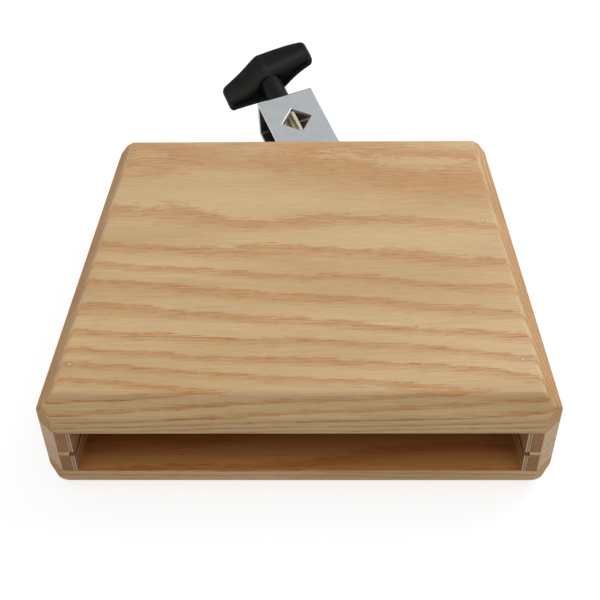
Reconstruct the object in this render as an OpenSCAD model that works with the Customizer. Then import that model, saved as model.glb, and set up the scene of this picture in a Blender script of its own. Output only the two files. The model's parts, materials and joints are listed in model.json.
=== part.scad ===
// Slotted ash woodblock with a swivelling rod clamp behind it.
// The origin is the middle of the flat bottom face. The open mouth faces -Y and the clamp is at +Y.

/* [Block] */
// Width of the block across its mouth
block_w = 170; // [140:1:220]
// Depth of the block from its mouth to its rear
block_d = 179; // [140:1:220]
// Height of the block
block_h = 41; // [38:0.5:48]
// Leg of the 45 degree bevel along every outer edge
bevel = 6.3; // [4:0.1:7]
// Thickness of the struck top plate
top_t = 12; // [10:0.1:13]
// Thickness of the bottom plate
bottom_t = 11.4; // [10:0.1:12]

/* [Walls] */
// Width of each side rail
rail_w = 9.7; // [9:0.1:14]
// Width of the two rear rails
rear_rail_w = 15; // [14.5:0.5:24]
// Thickness of the strip glued between the upper and lower rails
strip_t = 1.8; // [1:0.1:2.2]
// How far the strips' front ends sit back from the rail ends
strip_setback = 0.4; // [0:0.1:2]
// Thickness of the plywood liners inside the rails
liner_t = 2; // [1:0.1:4]

/* [Swivel lug] */
// How far right of the block's middle the pivot stands
pivot_x = 4; // [-10:0.5:10]
// How far behind the rear wall the pivot stands
pivot_out = 11.2; // [11:0.1:16]
// How far the pivot stands below the joint between the rails
pivot_drop = 0.4; // [-1.8:0.1:1.2]
// Angle at which the lug rises away from the rear wall
lug_rise = 21.2; // [10:0.1:22]
// Width of the lug's base plate
lug_w = 46; // [42:1:60]
// Height of the lug's base plate
lug_h = 15.4; // [15:0.1:16]
// Thickness of the lug's base plate
lug_t = 2.5; // [1.5:0.1:3]
// Width of the lug's tongue
tongue_w = 10; // [6:0.5:12]
// Thickness of the lug's tongue
tongue_t = 5; // [3:0.5:8]
// Radius of the barrel at the tongue's end
barrel_r = 5.8; // [4.5:0.1:6]

/* [Lug screws] */
// Spacing of the screws across the block
screw_gap_x = 36; // [34:1:38]
// Spacing of the screws up the wall
screw_gap_z = 8.4; // [8.2:0.1:8.6]
// Radius of a screw's shank
screw_r = 1.75; // [1:0.05:1.75]
// Length of a screw's shank in the wood
screw_l = 12; // [8:0.5:13]
// Radius of a screw's head
screw_head_r = 3.3; // [2.5:0.1:3.4]
// Height of a screw's head
screw_head_h = 2.2; // [1.5:0.1:2.4]

/* [Clamp strap] */
// Angle by which the clamp is swung to the left on its pivot
swing = 21.7; // [-23:0.1:23]
// Width of the steel strap
strap_w = 28.4; // [24:0.1:29]
// Height of the bent strap over both legs
strap_h = 24; // [22:0.1:26]
// Thickness of the strap
strap_t = 2.3; // [1.5:0.1:2.5]
// Outer radius of the strap's bends
bend_r = 3.4; // [3:0.1:6]
// Radius of the strap's near ends around the pivot
strap_end_r = 6.2; // [5:0.1:6.3]
// How far before the pivot the strap's straight sides reach
strap_shoulder = 1.5; // [0:0.1:1.6]
// Side of the square rod holes
hole_side = 10.7; // [9.6:0.1:12]
// Distance from the pivot to the middle of the rod holes
hole_out = 18.5; // [18:0.1:22]
// Distance from the middle of the rod holes to the strap's far face
hole_to_end = 18.9; // [14:0.1:24]

/* [Pivot bolt] */
// Radius of the pivot bolt
pivot_r = 2.5; // [2:0.1:3]
// Radius of the pivot bolt's low head
pivot_head_r = 3.1; // [3:0.1:5]
// Height of the pivot bolt's low head
pivot_head_h = 0.8; // [0.6:0.1:1.2]
// Thickness of the two plastic washers at the barrel
pivot_washer_t = 0.8; // [0.5:0.1:1.5]
// Distance between opposite flats of the lock nut
nut_flats = 8; // [7:0.1:9]
// Height of the lock nut
nut_h = 4.4; // [3:0.1:5]
// Length of bolt that shows past the lock nut
bolt_end = 0.8; // [0.5:0.1:1.5]

/* [Clamp screw] */
// Radius of the clamp screw
thread_r = 4; // [3:0.1:4.5]
// How far the screw's tip stands past the middle of the rod holes
tip_past = 3; // [0:0.1:6]
// Length of the cone at the screw's tip
tip_cone = 1.2; // [0.5:0.1:2]
// Radius of the threaded bush's flange
bush_flange_r = 6.2; // [6:0.1:8]
// Thickness of the threaded bush's flange
bush_flange_t = 2.2; // [1.5:0.1:4]
// Radius of the threaded bush where it passes through the strap
bush_r = 5.2; // [5:0.1:5.6]
// Outer radius of the captive washer
washer_r = 5.9; // [5.4:0.1:8]
// Thickness of the captive washer
washer_t = 1.2; // [0.8:0.1:2]

/* [Wing knob] */
// Angle of the wings about the screw
knob_turn = 14; // [-90:1:90]
// Length of the knob along the screw
knob_l = 32.5; // [30:0.5:40]
// Span of the wings from tip to tip
knob_span = 50; // [40:1:60]
// Radius of the knob's hub
hub_r = 6.2; // [5.8:0.1:7]
// Width of the groove around the hub under the wings
hub_groove = 1.2; // [0.5:0.1:2]
// Depth of the groove, from the hub's near face
hub_groove_l = 13; // [11:0.5:16]
// Depth of a wing along the screw at its tip
tip_depth = 12.2; // [9:0.1:13]
// How much lower the wing tips stand than the crest
crest_drop = 5.2; // [3:0.1:8]
// How much lower the wings' near edge stands at the hub than at the tips
wing_root_drop = 4.4; // [2:0.1:6]
// Thickness of the knob across the crest
crest_t = 13; // [13:0.1:18]
// Half length of the crest's thick middle
crest_flat = 2; // [1:0.1:5]
// Thickness of a wing at its tip
tip_t = 5.4; // [5:0.1:8]
// How far each wing tip leans to its own side
tip_lean = 2.8; // [0:0.1:3]

/* [Hidden] */
$fn = 64;

// Clearances and the overrun of every cut
fit_gap = 0.05;
run_gap = 0.08;
face_gap = 0.15;
over = 1;

// Heights of the layers
chamber_h = block_h - top_t - bottom_t;
ceiling_z = block_h - top_t;
joint_z = bottom_t + chamber_h / 2;
pivot_z = joint_z - pivot_drop;
strip_z = joint_z - strip_t;
inner_w = block_w - 2 * rail_w;
rail_d = block_d - rear_rail_w;
rear_y = block_d / 2;
rear_rail_y = rear_y - rear_rail_w;

// The lug's base plate is centred a little below the joint, over both rear rails
lug_drop = 1.2;
lug_z = (joint_z + strip_z) / 2 - lug_drop;
barrel_h = strap_h - 2 * strap_t - 2 * pivot_washer_t - 2 * face_gap;

// Places along the clamp, measured from the pivot
strap_end = hole_out + hole_to_end;
washer_y = strap_end + bush_flange_t + face_gap;
knob_y = washer_y + washer_t + face_gap;
tip_y = hole_out - tip_past;
thread_sunk = 18;
plan_steps = 12;

// Colours
ash = [0.76, 0.63, 0.47];
ash_rail = [0.66, 0.50, 0.34];
pale_ash = [0.82, 0.70, 0.52];
birch_ply = [0.80, 0.68, 0.50];
chrome = [0.70, 0.72, 0.74];
zinc = [0.60, 0.62, 0.64];
black = [0.08, 0.08, 0.08];
nylon = [0.90, 0.90, 0.86];

// A rectangle whose corners are cut at 45 degrees
module cut_corners(w, h) {
    x = w / 2;
    y = h / 2;
    polygon([[x - bevel, -y], [x, bevel - y], [x, y - bevel], [x - bevel, y],
             [bevel - x, y], [-x, y - bevel], [-x, bevel - y], [bevel - x, -y]]);
}

// The outer form of the whole block, with every edge bevelled
module block_form() {
    intersection() {
        linear_extrude(block_h) cut_corners(block_w, block_d);
        translate([0, block_d / 2, block_h / 2]) rotate([90, 0, 0]) linear_extrude(block_d)
            cut_corners(block_w, block_h);
        translate([-block_w / 2, 0, block_h / 2]) rotate([90, 0, 90]) linear_extrude(block_w)
            cut_corners(block_d, block_h);
    }
}

// The part of the block's form inside one box, given by its lowest corner and its size
module sawn(corner, size) {
    intersection() {
        block_form();
        translate(corner) cube(size);
    }
}

// The four screws' places on the rear wall
module at_lug_screws() {
    for (x = [-1, 1])
        for (z = [-1, 1])
            translate([pivot_x + x * screw_gap_x / 2, rear_y, lug_z + z * screw_gap_z / 2])
                rotate([90, 0, 0]) children();
}

// The screws' holes in the wood, in whichever pieces of the rear wall they meet
module lug_screw_holes() {
    at_lug_screws() translate([0, 0, -over]) cylinder(r = screw_r + fit_gap, h = screw_l + fit_gap + over);
}

// The tilted frame of the lug: its Z axis is the pivot
module at_pivot() {
    translate([pivot_x, rear_y + pivot_out, pivot_z]) rotate([lug_rise, 0, 0]) children();
}

// The frame of the clamp: its Y axis is the clamp screw, and its origin is on the pivot
module at_clamp() {
    at_pivot() rotate([0, 0, swing]) children();
}

// Plates

module top_plate() {
    color(ash) difference() {
        sawn([-block_w / 2, -block_d / 2, ceiling_z], [block_w, block_d, top_t]);
        lug_screw_holes();
    }
}

module bottom_plate() {
    color(ash) difference() {
        sawn([-block_w / 2, -block_d / 2, 0], [block_w, block_d, bottom_t]);
        lug_screw_holes();
    }
}

// Rails: side is -1 for the left and 1 for the right, and z and h are the rail's level

module side_rail(side, z, h) {
    x = side < 0 ? -block_w / 2 : inner_w / 2;
    sawn([x, -block_d / 2, z], [rail_w, block_d, h]);
}

module upper_left_rail() {
    color(ash_rail) side_rail(-1, joint_z, ceiling_z - joint_z);
}

module lower_left_rail() {
    color(ash_rail) side_rail(-1, bottom_t, strip_z - bottom_t);
}

module upper_right_rail() {
    color(ash_rail) side_rail(1, joint_z, ceiling_z - joint_z);
}

module lower_right_rail() {
    color(ash_rail) side_rail(1, bottom_t, strip_z - bottom_t);
}

module rear_rail(z, h) {
    difference() {
        translate([-inner_w / 2, rear_rail_y, z]) cube([inner_w, rear_rail_w, h]);
        lug_screw_holes();
    }
}

module upper_rear_rail() {
    color(ash_rail) rear_rail(joint_z, ceiling_z - joint_z);
}

module lower_rear_rail() {
    color(ash_rail) rear_rail(bottom_t, strip_z - bottom_t);
}

// Strips between the upper and lower rails

module side_strip(side) {
    x = side < 0 ? -block_w / 2 : inner_w / 2;
    sawn([x, strip_setback - block_d / 2, strip_z], [rail_w, block_d - strip_setback, strip_t]);
}

module left_strip() {
    color(pale_ash) side_strip(-1);
}

module right_strip() {
    color(pale_ash) side_strip(1);
}

module rear_strip() {
    color(pale_ash) translate([-inner_w / 2, rear_rail_y, strip_z]) cube([inner_w, rear_rail_w, strip_t]);
}

// Plywood liners, which leave the strips' height open as a slit

module side_liner(side, z, h) {
    x = side < 0 ? -inner_w / 2 : inner_w / 2 - liner_t;
    translate([x, -block_d / 2, z]) cube([liner_t, rail_d, h]);
}

module upper_left_liner() {
    color(birch_ply) side_liner(-1, joint_z, ceiling_z - joint_z);
}

module lower_left_liner() {
    color(birch_ply) side_liner(-1, bottom_t, strip_z - bottom_t);
}

module upper_right_liner() {
    color(birch_ply) side_liner(1, joint_z, ceiling_z - joint_z);
}

module lower_right_liner() {
    color(birch_ply) side_liner(1, bottom_t, strip_z - bottom_t);
}

module rear_liner(z, h) {
    translate([liner_t - inner_w / 2, rear_rail_y - liner_t, z]) cube([inner_w - 2 * liner_t, liner_t, h]);
}

module upper_rear_liner() {
    color(birch_ply) rear_liner(joint_z, ceiling_z - joint_z);
}

module lower_rear_liner() {
    color(birch_ply) rear_liner(bottom_t, strip_z - bottom_t);
}

// Swivel lug: a base plate on the rear wall, a rising tongue and a barrel

module swivel_lug() {
    color(zinc) difference() {
        union() {
            translate([pivot_x - lug_w / 2, rear_y, lug_z - lug_h / 2]) cube([lug_w, lug_t, lug_h]);
            difference() {
                at_pivot() translate([-tongue_w / 2, -2 * pivot_out, -tongue_t / 2])
                    cube([tongue_w, 2 * pivot_out, tongue_t]);
                translate([pivot_x - lug_w / 2, rear_y - 2 * pivot_out, 0]) cube([lug_w, 2 * pivot_out, block_h]);
            }
            at_pivot() cylinder(r = barrel_r, h = barrel_h, center = true);
        }
        at_pivot() cylinder(r = pivot_r + run_gap, h = barrel_h + 2 * over, center = true);
        at_lug_screws() translate([0, 0, -lug_t - over]) cylinder(r = screw_r + fit_gap, h = lug_t + 2 * over);
    }
}

module lug_screws() {
    color(zinc) at_lug_screws() {
        translate([0, 0, -lug_t]) cylinder(r = screw_r, h = lug_t + screw_l);
        translate([0, 0, -lug_t - screw_head_h]) cylinder(r = screw_head_r, h = screw_head_h);
    }
}

// Clamp strap: a steel strip bent to a U around the rod

// A square-cornered near end and a round-cornered far end, from y = 0 to y = l
module bent_outline(l, h, r) {
    translate([0, -h / 2]) square([l - r, h]);
    translate([0, r - h / 2]) square([l, h - 2 * r]);
    for (s = [-1, 1])
        translate([l - r, s * (h / 2 - r)]) circle(r);
}

// The strap's plan: straight sides that close in on the round end at the pivot
module strap_plan(far) {
    x = strap_w / 2;
    reach = sqrt(x * x + strap_shoulder * strap_shoulder);
    start = -atan2(strap_shoulder, x) - acos(strap_end_r / reach);
    sweep = 180 + 2 * start;
    near = [for (i = [0 : 2 * plan_steps])
        let (a = start - sweep * i / (2 * plan_steps))
        [strap_end_r * cos(a), strap_end_r * sin(a)]];
    polygon(concat([[-x, far], [x, far], [x, -strap_shoulder]], near, [[-x, -strap_shoulder]]));
}

module clamp_strap() {
    near = strap_end_r + over;
    color(chrome) at_clamp() difference() {
        intersection() {
            translate([-strap_w / 2, -near, 0]) rotate([90, 0, 90]) linear_extrude(strap_w) difference() {
                bent_outline(near + strap_end, strap_h, bend_r);
                translate([-over, 0])
                    bent_outline(over + near + strap_end - strap_t, strap_h - 2 * strap_t, bend_r - strap_t);
            }
            translate([0, 0, -strap_h]) linear_extrude(2 * strap_h) strap_plan(strap_end + over);
        }
        translate([0, hole_out, 0]) rotate([0, 0, 45]) cube([hole_side, hole_side, 2 * strap_h], center = true);
        cylinder(r = pivot_r + fit_gap, h = 2 * strap_h, center = true);
        translate([0, strap_end - strap_t - over, 0]) rotate([-90, 0, 0])
            cylinder(r = bush_r + fit_gap, h = strap_t + 2 * over);
    }
}

// Pivot bolt, its washers and its lock nut

module pivot_bolt() {
    color(zinc) at_clamp() {
        translate([0, 0, -strap_h / 2 - nut_h - bolt_end]) cylinder(r = pivot_r, h = strap_h + nut_h + bolt_end);
        translate([0, 0, strap_h / 2]) cylinder(r = pivot_head_r, h = pivot_head_h);
    }
}

module pivot_lock_nut() {
    color(zinc) at_clamp() translate([0, 0, -strap_h / 2 - nut_h]) difference() {
        cylinder(d = nut_flats / cos(30), h = nut_h, $fn = 6);
        translate([0, 0, -over]) cylinder(r = pivot_r + fit_gap, h = nut_h + 2 * over);
    }
}

module pivot_washer(z) {
    color(nylon) at_clamp() translate([0, 0, z]) difference() {
        cylinder(r = barrel_r, h = pivot_washer_t);
        translate([0, 0, -over]) cylinder(r = pivot_r + fit_gap, h = pivot_washer_t + 2 * over);
    }
}

module upper_pivot_washer() {
    pivot_washer(strap_h / 2 - strap_t - pivot_washer_t);
}

module lower_pivot_washer() {
    pivot_washer(strap_t - strap_h / 2);
}

// Clamp screw, its bush and its captive washer

module threaded_bush() {
    color(chrome) at_clamp() translate([0, strap_end, 0]) rotate([-90, 0, 0]) difference() {
        union() {
            translate([0, 0, -strap_t]) cylinder(r = bush_r, h = strap_t);
            cylinder(r = bush_flange_r, h = bush_flange_t);
        }
        translate([0, 0, -strap_t - over])
            cylinder(r = thread_r + run_gap, h = strap_t + bush_flange_t + 2 * over);
    }
}

module captive_washer() {
    color(chrome) at_clamp() translate([0, washer_y, 0]) rotate([-90, 0, 0]) difference() {
        cylinder(r = washer_r, h = washer_t);
        translate([0, 0, -over]) cylinder(r = thread_r + run_gap, h = washer_t + 2 * over);
    }
}

module clamp_screw() {
    color(zinc) at_clamp() translate([0, tip_y, 0]) rotate([-90, 0, 0]) {
        cylinder(r1 = thread_r - tip_cone, r2 = thread_r, h = tip_cone);
        translate([0, 0, tip_cone]) cylinder(r = thread_r, h = knob_y + thread_sunk - tip_y - tip_cone);
    }
}

// Wing knob, moulded on the screw's head

// The knob from the side: x runs along the wings and y along the screw
module knob_side() {
    half = knob_span / 2;
    crest_r = (half * half + crest_drop * crest_drop) / (2 * crest_drop);
    sweep = asin(half / crest_r);
    crest = [for (i = [0 : plan_steps])
        let (a = sweep * (1 - 2 * i / plan_steps))
        [crest_r * sin(a), knob_l - crest_r * (1 - cos(a))]];
    tip_low = knob_l - crest_drop - tip_depth;
    under = [for (i = [0 : plan_steps])
        let (t = i / plan_steps)
        [hub_r + (half - hub_r) * t, tip_low - wing_root_drop * pow(1 - t, 1.5)]];
    polygon(concat(crest, [for (i = [plan_steps : -1 : 0]) [-under[i][0], under[i][1]]], under));
}

// Half the knob's thickness at a place along the wings, on the side that hollows out below zero
function knob_face(x) =
    let (half = knob_span / 2, t = max(0, abs(x) - crest_flat) / (half - crest_flat))
    x > 0
        ? crest_t / 2 + (tip_t / 2 + tip_lean - crest_t / 2) * min(1, 2 * t)
        : tip_t / 2 - tip_lean + (crest_t / 2 - tip_t / 2 + tip_lean) * pow(1 - t, 3);

// The knob seen along the screw: each wing hollows out on its own side
module knob_plan() {
    xs = [for (i = [0 : 2 * plan_steps]) knob_span * (i / plan_steps - 1) / 2];
    polygon(concat([for (x = xs) [x, knob_face(x)]], [for (x = xs) [-x, -knob_face(x)]]));
}

module wing_knob() {
    color(black) at_clamp() translate([0, knob_y, 0]) rotate([0, -knob_turn, 0]) difference() {
        union() {
            difference() {
                intersection() {
                    translate([0, 0, -crest_t]) linear_extrude(2 * crest_t) knob_side();
                    translate([0, knob_l + over, 0]) rotate([90, 0, 0]) linear_extrude(knob_l + 2 * over) knob_plan();
                }
                translate([0, -over, 0]) rotate([-90, 0, 0]) cylinder(r = hub_r + hub_groove, h = hub_groove_l + over);
            }
            rotate([-90, 0, 0]) cylinder(r = hub_r, h = knob_l - crest_drop);
        }
        translate([0, -over, 0]) rotate([-90, 0, 0])
            cylinder(r = thread_r + fit_gap, h = over + thread_sunk + fit_gap);
    }
}

top_plate();
bottom_plate();
upper_left_rail();
lower_left_rail();
upper_right_rail();
lower_right_rail();
upper_rear_rail();
lower_rear_rail();
left_strip();
right_strip();
rear_strip();
upper_left_liner();
lower_left_liner();
upper_right_liner();
lower_right_liner();
upper_rear_liner();
lower_rear_liner();
swivel_lug();
lug_screws();
clamp_strap();
pivot_bolt();
pivot_lock_nut();
upper_pivot_washer();
lower_pivot_washer();
threaded_bush();
captive_washer();
clamp_screw();
wing_knob();
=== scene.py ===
# %% [markdown]
# # A slotted ash woodblock on a swivelling rod clamp
#
# The wooden block is a flat box of ash, open along its front. Behind it stands a chromed clamp
# with a black wing screw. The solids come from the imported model, in metres. This script gives
# them their finishes, and makes the pieces whose form needs finer meshes: the wing knob, the
# screw's thread and the heads of the wood screws.

# %% Load the frame
import json
import math

import bmesh
import bpy
from mathutils import Matrix, Vector


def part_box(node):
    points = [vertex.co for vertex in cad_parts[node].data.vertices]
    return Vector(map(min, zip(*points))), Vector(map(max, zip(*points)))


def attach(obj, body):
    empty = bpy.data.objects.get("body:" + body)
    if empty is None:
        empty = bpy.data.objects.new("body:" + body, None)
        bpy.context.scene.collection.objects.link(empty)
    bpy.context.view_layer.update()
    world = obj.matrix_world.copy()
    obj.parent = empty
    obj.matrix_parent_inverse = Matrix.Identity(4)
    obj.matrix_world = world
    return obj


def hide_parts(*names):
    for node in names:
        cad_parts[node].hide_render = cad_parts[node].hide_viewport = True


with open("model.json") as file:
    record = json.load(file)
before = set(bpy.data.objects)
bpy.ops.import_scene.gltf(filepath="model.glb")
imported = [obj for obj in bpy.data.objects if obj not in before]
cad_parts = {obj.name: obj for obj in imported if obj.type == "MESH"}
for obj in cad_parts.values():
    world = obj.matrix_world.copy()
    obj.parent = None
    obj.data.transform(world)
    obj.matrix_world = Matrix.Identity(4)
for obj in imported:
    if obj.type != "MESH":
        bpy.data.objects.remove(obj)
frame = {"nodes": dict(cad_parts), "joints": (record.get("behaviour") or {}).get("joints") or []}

nodes = frame["nodes"]
joints = {joint["name"]: joint for joint in frame["joints"]}
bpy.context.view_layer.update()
MM = 0.001

# %% [markdown]
# ## Camera
#
# The view looks down at the open mouth from straight in front, 38 degrees below level. A camera
# in Blender looks along its own -Z axis, so it is tipped up to look level, less the pitch. The yaw
# turns it a little to the side, and the lean, about the way it looks, tilts the picture.
# The lens follows from the focal length in pixels: the sensor is 36 mm wide for 600 pixels.

# %% Camera
FOCAL_PX = 903.5
IMAGE_PX = 600
SENSOR = 36.0
PITCH = math.radians(38.2)
YAW = math.radians(1.117)
LEAN = math.radians(-0.845)
EYE = Vector((5.134, -290.22, 241.448)) * MM
NEAREST_SEEN = 0.01

camera = bpy.data.objects.new("camera", bpy.data.cameras.new("camera"))
camera.data.sensor_width = SENSOR
camera.data.lens = FOCAL_PX * SENSOR / IMAGE_PX
camera.data.clip_start = NEAREST_SEEN
tip_up = Matrix.Rotation(math.pi / 2 - PITCH, 4, "X")
turn = Matrix.Rotation(YAW, 4, "Z") @ tip_up @ Matrix.Rotation(LEAN, 4, "Z")
camera.matrix_world = Matrix.Translation(EYE) @ turn
bpy.context.scene.collection.objects.link(camera)
bpy.context.scene.camera = camera
print("lens:", round(camera.data.lens, 2), "mm")

# %% [markdown]
# ## Helpers for finishes
#
# Every finish here is a small network of nodes. Writing each node out takes many lines, so a few
# helpers do the repeated work. The first ones deal with colours, which are written as a picture
# editor shows them, 0 to 255, and turned into the linear light that the renderer works with. The
# next ones add a node and feed it, do arithmetic, and make soft steps.

# %% Colour and arithmetic helpers
def tint(red, green, blue):
    """The linear colour of one that a picture editor shows as red, green, blue."""
    def linear(value):
        share = value / 255
        return share / 12.92 if share <= 0.04045 else ((share + 0.055) / 1.055) ** 2.4
    return (linear(red), linear(green), linear(blue), 1.0)


def scaled(colour, factors):
    """A colour made lighter or darker, by one factor or by one for each of red, green and blue."""
    if not isinstance(factors, tuple):
        factors = (factors,) * 3
    return tuple(part * factor for part, factor in zip(colour, factors)) + (1.0,)


def put(tree, kind, feeds=None, **options):
    """A new node, with its options set and its inputs fed by numbers or by other nodes."""
    made = tree.nodes.new("ShaderNode" + kind)
    for name, value in options.items():
        setattr(made, name, value)
    for name, value in (feeds or {}).items():
        if isinstance(value, bpy.types.NodeSocket):
            tree.links.new(value, made.inputs[name])
        else:
            made.inputs[name].default_value = value
    return made


def calc(tree, operation, *terms, clamp=False):
    """Arithmetic on one, two or three terms."""
    return put(tree, "Math", dict(enumerate(terms)), operation=operation, use_clamp=clamp).outputs[0]


def overlap(tree, *shares):
    """The product of several shares, which is 1 only where all of them are."""
    whole = shares[0]
    for share in shares[1:]:
        whole = calc(tree, "MULTIPLY", whole, share)
    return whole


def distance(tree, value, middle):
    """How far a value lies from a middle one, to either side."""
    return calc(tree, "ABSOLUTE", calc(tree, "SUBTRACT", value, middle))


def radius_of(tree, across, along):
    """How far a place lies from an axis, from its distances along the other two."""
    squares = [calc(tree, "MULTIPLY", part, part) for part in (across, along)]
    return calc(tree, "SQRT", calc(tree, "ADD", *squares))


def rising(tree, value, low, high):
    """A soft step up: 0 below low, 1 above high."""
    feeds = {"Value": value, "From Min": low, "From Max": high}
    return put(tree, "MapRange", feeds, interpolation_type="SMOOTHSTEP").outputs["Result"]


def falling(tree, value, low, high):
    """A soft step down: 1 below low, 0 above high."""
    return calc(tree, "SUBTRACT", 1.0, rising(tree, value, low, high))


print("middle grey in linear light:", round(tint(128, 128, 128)[0], 3))

# %% [markdown]
# The other helpers make the parts that every finish has: an empty material, the place and the
# direction of each point of the surface, blended colours, noise, and small relief. Noise could be
# laid on in the picture plane, but it would swim over a moving piece. Here it is given the place
# on the object itself, so it stays with the piece.

# %% Surface helpers
def new_finish(name):
    """An empty finish: its material, its node tree and its shader."""
    material = bpy.data.materials.new(name)
    material.use_nodes = True
    return material, material.node_tree, material.node_tree.nodes["Principled BSDF"]


def millimetres(tree):
    """The place on the object in millimetres, which stays with the piece when it moves."""
    place = put(tree, "TexCoord").outputs["Object"]
    return put(tree, "VectorMath", {0: place, "Scale": 1 / MM}, operation="SCALE").outputs[0]


def facing(tree):
    """How squarely the surface faces along X, Y and Z, from 0 to 1 each."""
    normal = put(tree, "SeparateXYZ", {0: put(tree, "TexCoord").outputs["Normal"]}).outputs
    return [calc(tree, "ABSOLUTE", normal[axis]) for axis in range(3)]


def blend(tree, share, first, second, mode="MIX"):
    """Two colours blended: share 0 gives the first, 1 the second."""
    feeds = {0: share, 6: first, 7: second}
    return put(tree, "Mix", feeds, data_type="RGBA", blend_type=mode, clamp_factor=True).outputs[2]


def noise(tree, place, size, detail=2.0, roughness=0.5, seed=0.0):
    """Noise of about 0 to 1, whose lumps are size millimetres along each axis."""
    shift = (seed * 17.3, seed * 7.1, seed * 3.7)
    feeds = {"Vector": place, "Location": shift, "Scale": tuple(1 / s for s in size)}
    scattered = put(tree, "Mapping", feeds).outputs[0]
    feeds = {"Vector": scattered, "Scale": 1.0, "Detail": detail, "Roughness": roughness}
    return put(tree, "TexNoise", feeds).outputs[0]


def shaded(tree, colour, value, weakest, strongest):
    """A colour made darker or lighter by a noise value: weakest at 0.3 and strongest at 0.7."""
    feeds = {"Value": value, "From Min": 0.3, "From Max": 0.7, "To Min": weakest, "To Max": strongest}
    level = put(tree, "MapRange", feeds, clamp=False).outputs[0]
    grey = put(tree, "CombineXYZ", {i: level for i in range(3)}).outputs[0]
    return blend(tree, 1.0, colour, grey, mode="MULTIPLY")


def bump(tree, shader, height, depth_mm, strength):
    """Small relief on a finish: height 0 to 1 stands for depth_mm."""
    feeds = {"Height": height, "Distance": depth_mm * MM, "Strength": strength}
    tree.links.new(put(tree, "Bump", feeds).outputs[0], shader.inputs["Normal"])


print("places are in millimetres: 1 mm is", MM, "m")

# %% [markdown]
# ## Marks and painted shade in the wood
#
# Two small marks break up the plain wood of the block, and painted shade darkens its chamber.
# Fine dark glue lines show on the outside where the layers meet. Four small filled pins show on
# the top face. Inside the chamber, where the top plate keeps the light out, the wood is painted
# darker and redder as shade, with a few dark specks, and the first bit behind the mouth, where
# light gets in, is painted lighter. Each one is a function that takes the wood's colour and
# gives it back changed, so that each piece can list its own.

# %% Marks and painted shade in the wood
GLUE_HEIGHTS = (11.4, 20.2, 29.0)
GLUE_HALF, GLUE_SOFT = 0.06, 0.22
GLUE_STRONG, GLUE_FAINT = 0.6, 0.35
GLUE_BROWN = tint(92, 64, 42)
TOP_STARTS, TOP_FULL = 40.5, 40.8
PINS = [(-9.8, 72.2), (73.2, 16.3), (-75.7, -69.5), (74.0, -67.5)]
PIN_ACROSS, PIN_ALONG = 0.9, 1.2
RIM_STRENGTH, CORE_STRENGTH = 0.38, 0.45
PIN_RIM, PIN_CORE = tint(140, 98, 62), tint(216, 184, 142)
CHAMBER_MIDDLE, CHAMBER_HALF = 20.2, 8.85
# Painted light and shade in the chamber: how far in from the mouth the painted light reaches, and the
# colours that multiply the wood, darker for the painted shade inside and lighter for the painted light
# near the mouth.
MOUTH_Y, LIT_MOUTH_REACH = -89.5, 17.0
CHAMBER_SHADE, MOUTH_LIGHT = (0.78, 0.55, 0.36, 1.0), (1.16, 0.84, 0.62, 1.0)
SPECK_BROWN = tint(58, 32, 18)


def glue_lines(tree, apart, colour):
    """Fine dark lines on the upright faces, at the heights where the layers meet."""
    upright = falling(tree, facing(tree)[2], 0.8, 0.95)
    for height in GLUE_HEIGHTS:
        line = falling(tree, distance(tree, apart[2], height), GLUE_HALF, GLUE_SOFT)
        strength = GLUE_STRONG if height == CHAMBER_MIDDLE else GLUE_FAINT
        colour = blend(tree, overlap(tree, line, upright, strength), colour, GLUE_BROWN)
    return colour


def filled_pins(tree, apart, colour):
    """Small oval fillings on the top face, each with a faint darker rim."""
    on_top = rising(tree, apart[2], TOP_STARTS, TOP_FULL)
    for x, y in PINS:
        across = calc(tree, "DIVIDE", calc(tree, "SUBTRACT", apart[0], x), PIN_ACROSS)
        along = calc(tree, "DIVIDE", calc(tree, "SUBTRACT", apart[1], y), PIN_ALONG)
        away = radius_of(tree, across, along)
        rim = falling(tree, distance(tree, away, 1.0), 0.1, 0.4)
        core = falling(tree, away, 0.5, 0.9)
        colour = blend(tree, overlap(tree, rim, on_top, RIM_STRENGTH), colour, PIN_RIM)
        colour = blend(tree, overlap(tree, core, on_top, CORE_STRENGTH), colour, PIN_CORE)
    return colour


def chamber_shade_and_specks(tree, apart, colour):
    """Painted shade in the chamber, lighter near the mouth where light gets in, and a few dark specks.
    """
    inside = falling(tree, distance(tree, apart[2], CHAMBER_MIDDLE), CHAMBER_HALF, CHAMBER_HALF + 0.05)
    place = put(tree, "CombineXYZ", {i: apart[i] for i in range(3)}).outputs[0]
    specks = rising(tree, noise(tree, place, (2.2, 1.0, 1.0), 1.0, 0.5, 71), 0.76, 0.80)
    # Painted light near the mouth, painted shade further in.
    near_mouth = falling(tree, apart[1], MOUTH_Y, MOUTH_Y + LIT_MOUTH_REACH)
    painted_shade = blend(tree, near_mouth, CHAMBER_SHADE, MOUTH_LIGHT)
    dimmed_with_specks = blend(tree, 1.0, colour, painted_shade, mode="MULTIPLY")
    dimmed_with_specks = blend(tree, calc(tree, "MULTIPLY", specks, 0.7), dimmed_with_specks, SPECK_BROWN)
    return blend(tree, inside, colour, dimmed_with_specks)


print("glue lines at", GLUE_HEIGHTS, "mm, filled pins:", len(PINS))

# %% [markdown]
# ## Ash
#
# Ash grows rings of coarse brown early wood and smooth pale late wood. A board shows them as
# bands, and the bands change with the direction of each cut: wide ones on the flat face, arcs and
# short lines on the ends. A painted pattern would have to be drawn again for every face, so the
# wood is given as a solid instead. For each point the network works out how far it lies from the
# heart of the tree, and from that its place in a ring. Faces and bevels then match by themselves.
#
# On top of the rings come three finer things, all stretched along the grain: streaks that
# tear the edges of the bands, dark open pores in the early wood, and fine fibres everywhere.
# The first names below hold how long, wide and high the lumps of each are, in millimetres.
#
# Where the wood is sawn across the grain it drinks up the lacquer, so there it is darker and dull.

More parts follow.
